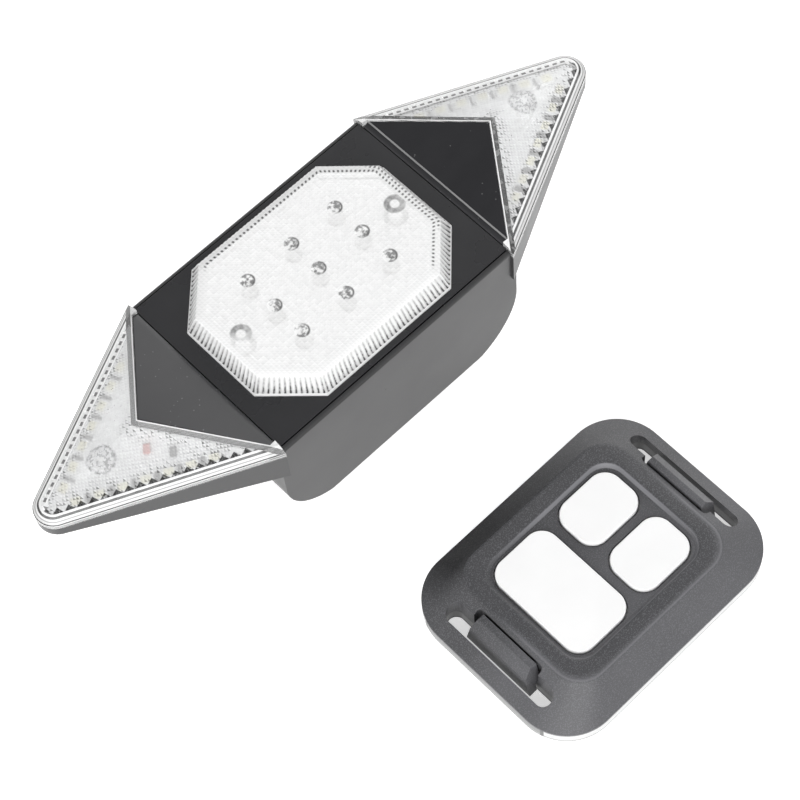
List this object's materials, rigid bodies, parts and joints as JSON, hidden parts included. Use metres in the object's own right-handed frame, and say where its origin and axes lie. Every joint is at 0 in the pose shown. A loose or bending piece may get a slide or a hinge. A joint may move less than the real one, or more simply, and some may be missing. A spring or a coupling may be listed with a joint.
{
  "type": "bicycle turn signal light",
  "caption": "Bicycle rear lamp with an eight-sided clear signal lens between two arrow-shaped turn signals, and a flat wireless remote with white keys and strap hooks.",
  "frame": {"origin": "middle of the bracket slot in the plane of the lamp's flat back, on the surface that the lamp and the remote lie on", "axes": "+X along the lamp from wing to wing, +Y the way the lamp leaves its bracket, away from the remote, +Z out of the lamp's face"},
  "size_m": [0.1384, 0.1155, 0.0354],
  "materials": {
    "housing": "fine matte moulded black",
    "bezel": "satin black",
    "cap": "semi-gloss black",
    "seal": "soft",
    "clear_lens": "clear moulded plastic with prisms",
    "reflector": "white",
    "led": "clear epoxy",
    "board": "solder mask",
    "module": "solder mask",
    "white_board": "white solder mask",
    "square_led": "pale yellow phosphor",
    "steel": "plated",
    "cradle": "moulded",
    "cell": "shrink sleeve",
    "switch": "moulded",
    "plunger": "moulded",
    "button": "soft",
    "flap": "soft",
    "cover": "fine spark texture, charcoal",
    "base": "pale grey",
    "pad": "thin sheet",
    "chip": "moulded",
    "clip": "plated spring metal",
    "key": "plain white"
  },
  "bodies": {
    "lamp": {"rear_housing": "housing", "seal_ring": "seal", "front_bezel": "bezel", "left_wing_cap": "cap", "right_wing_cap": "cap", "centre_lens": "clear_lens", "left_wing_lens": "clear_lens", "right_wing_lens": "clear_lens", "reflector": "reflector", "signal_leds": "led", "main_board": "board", "radio_module": "module", "left_wing_board": "white_board", "right_wing_board": "white_board", "left_wing_leds": "square_led", "right_wing_leds": "square_led", "lens_screws": "steel", "rear_screws": "steel", "battery_cradle": "cradle", "battery_cell": "cell", "plus_tab": "steel", "minus_tab": "steel", "power_switch": "switch", "charging_socket": "steel"},
    "power_key": {"power_button": "button", "power_plunger": "plunger"},
    "flap": {"port_flap": "flap"},
    "remote": {"remote_cover": "cover", "remote_base": "base", "remote_pad": "pad", "remote_board": "board", "remote_chip": "chip", "key_switches": "switch", "coin_cell": "steel", "cell_clip": "clip", "remote_screws": "steel"},
    "large": {"large_key": "key", "large_plunger": "plunger"},
    "left": {"left_key": "key", "left_plunger": "plunger"},
    "right": {"right_key": "key", "right_plunger": "plunger"}
  },
  "joints": [
    {"name": "power_press", "type": "slide", "parent": "lamp", "child": "power_key", "axis": [0, -1, 0], "range_m": [0, 0.0005], "stiffness_N_per_m": 600, "springref_m": -0.0005},
    {"name": "flap_hinge", "type": "hinge", "parent": "lamp", "child": "flap", "pos_m": [0.008, 0.0224, 0.016], "axis": [-1, 0, 0], "range_deg": [0, 110]},
    {"name": "remote_lift", "type": "slide", "parent": "lamp", "child": "remote", "axis": [0, 0, 1], "range_m": [0, 0.12]},
    {"name": "large_press", "type": "slide", "parent": "remote", "child": "large", "axis": [0, 0, -1], "range_m": [0, 0.0005], "stiffness_N_per_m": 500, "springref_m": -0.0005},
    {"name": "left_press", "type": "slide", "parent": "remote", "child": "left", "axis": [0, 0, -1], "range_m": [0, 0.0005], "stiffness_N_per_m": 500, "springref_m": -0.0005},
    {"name": "right_press", "type": "slide", "parent": "remote", "child": "right", "axis": [0, 0, -1], "range_m": [0, 0.0005], "stiffness_N_per_m": 500, "springref_m": -0.0005}
  ]
}
